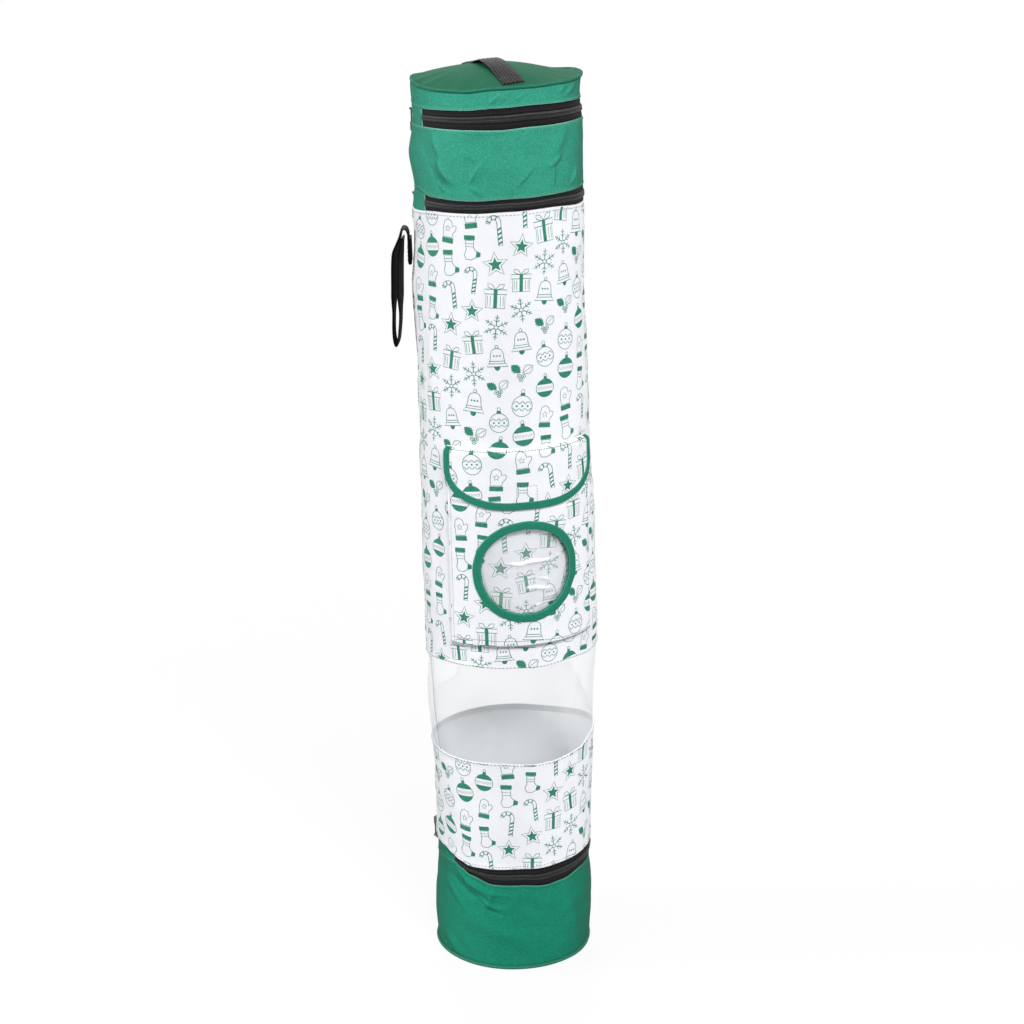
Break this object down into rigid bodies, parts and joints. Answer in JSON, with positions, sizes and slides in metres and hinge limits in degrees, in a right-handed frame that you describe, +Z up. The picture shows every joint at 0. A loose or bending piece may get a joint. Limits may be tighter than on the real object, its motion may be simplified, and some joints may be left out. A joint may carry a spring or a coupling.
{
  "type": "gift wrap organizer",
  "caption": "Tall round fabric organizer for gift wrap rolls, with zipped end compartments, a clear window band and a pocket.",
  "frame": {"origin": "centre of the base's flat underside, on the tube's axis", "axes": "+Z up the tube; -Y the front, with the pocket; -X the side with the fabric hinges and the carry strap"},
  "size_m": [0.196, 0.1799, 0.9634],
  "materials": {
    "green_fabric": "woven polyester canvas, matt",
    "dark_green_fabric": "woven polyester, matt",
    "green_binding": "folded edge binding",
    "print_fabric": "white woven polyester with a small green print",
    "clear_film": "clear flexible film",
    "fastener_tape": "hook and loop tape",
    "black_webbing": "twill webbing",
    "zip_tape": "woven zip tape",
    "zip_coil": "nylon coil",
    "slider_metal": "black lacquer"
  },
  "bodies": {
    "main_tube": {"lower_print_panel": "print_fabric", "clear_window_band": "clear_film", "upper_print_panel": "print_fabric", "tube_floor_panel": "dark_green_fabric", "pocket_panel": "print_fabric", "flap_seam_strip": "print_fabric", "pocket_window_film": "clear_film", "pocket_window_binding": "green_binding", "pocket_loop_patch": "fastener_tape", "carry_strap_end": "black_webbing", "middle_zip_lower_tape": "zip_tape", "middle_zip_lower_coil": "zip_coil", "middle_zip_hinge_tab": "green_fabric", "bottom_zip_upper_tape": "zip_tape", "bottom_zip_upper_coil": "zip_coil", "bottom_zip_hinge_tab": "green_fabric"},
    "upper_compartment": {"compartment_wall": "green_fabric", "compartment_floor_panel": "dark_green_fabric", "middle_zip_upper_tape": "zip_tape", "middle_zip_upper_coil": "zip_coil", "top_zip_lower_tape": "zip_tape", "top_zip_lower_coil": "zip_coil", "top_zip_hinge_tab": "green_fabric"},
    "lid": {"lid_panel": "dark_green_fabric", "lid_side_band": "green_fabric", "lid_piping": "green_binding", "lid_grab_strap": "black_webbing", "top_zip_upper_tape": "zip_tape", "top_zip_upper_coil": "zip_coil"},
    "bottom_cup": {"bottom_cup_wall": "green_fabric", "base_panel": "dark_green_fabric", "base_piping": "green_binding", "bottom_zip_lower_tape": "zip_tape", "bottom_zip_lower_coil": "zip_coil"},
    "flap": {"pocket_flap": "print_fabric", "flap_binding": "green_binding", "flap_hook_patch": "fastener_tape"},
    "carry_loop": {"carry_strap_loop": "black_webbing"},
    "top_slider": {"top_zip_slider": "slider_metal"},
    "middle_slider": {"middle_zip_slider": "slider_metal"},
    "bottom_slider": {"bottom_zip_slider": "slider_metal"},
    "top_pull": {"top_zip_pull": "slider_metal"},
    "middle_pull": {"middle_zip_pull": "slider_metal"},
    "bottom_pull": {"bottom_zip_pull": "slider_metal"}
  },
  "joints": [
    {"name": "lid_hinge", "type": "hinge", "parent": "upper_compartment", "child": "lid", "pos_m": [-0.08851, 0.0093, 0.9115], "axis": [-0.1045, -0.9945, 0], "range_deg": [0, 150], "deforming": ["top_zip_hinge_tab"]},
    {"name": "compartment_hinge", "type": "hinge", "parent": "main_tube", "child": "upper_compartment", "pos_m": [-0.08851, 0.0093, 0.827], "axis": [-0.1045, -0.9945, 0], "range_deg": [0, 115], "deforming": ["middle_zip_hinge_tab"]},
    {"name": "cup_hinge", "type": "hinge", "parent": "main_tube", "child": "bottom_cup", "pos_m": [-0.089, 0.00078, 0.1098], "axis": [0.0087, 1, 0], "range_deg": [0, 110], "deforming": ["bottom_zip_hinge_tab"]},
    {"name": "flap_hinge", "type": "hinge", "parent": "main_tube", "child": "flap", "pos_m": [0, -0.09192, 0.5775], "axis": [-1, 0, 0], "range_deg": [0, 120]},
    {"name": "carry_loop_hinge", "type": "hinge", "parent": "main_tube", "child": "carry_loop", "pos_m": [-0.09312, 0.02093, 0.793], "axis": [-0.225, -0.9744, 0], "range_deg": [-120, 0]},
    {"name": "top_slider_run", "type": "hinge", "parent": "upper_compartment", "child": "top_slider", "pos_m": [0, 0, 0.9115], "axis": [0, 0, 1], "range_deg": [-309, 0]},
    {"name": "middle_slider_run", "type": "hinge", "parent": "main_tube", "child": "middle_slider", "pos_m": [0, 0, 0.827], "axis": [0, 0, 1], "range_deg": [-309, 0]},
    {"name": "bottom_slider_run", "type": "hinge", "parent": "main_tube", "child": "bottom_slider", "pos_m": [0, 0, 0.1098], "axis": [0, 0, 1], "range_deg": [-298, 0]},
    {"name": "top_pull_swing", "type": "hinge", "parent": "top_slider", "child": "top_pull", "pos_m": [-0.07813, 0.04547, 0.9115], "axis": [-0.503, -0.8643, 0], "range_deg": [-150, 0]},
    {"name": "middle_pull_swing", "type": "hinge", "parent": "middle_slider", "child": "middle_pull", "pos_m": [-0.07813, 0.04547, 0.827], "axis": [-0.503, -0.8643, 0], "range_deg": [-150, 0]},
    {"name": "bottom_pull_swing", "type": "hinge", "parent": "bottom_slider", "child": "bottom_pull", "pos_m": [-0.07813, 0.04547, 0.1098], "axis": [0.503, 0.8643, 0], "range_deg": [-150, 0]}
  ]
}
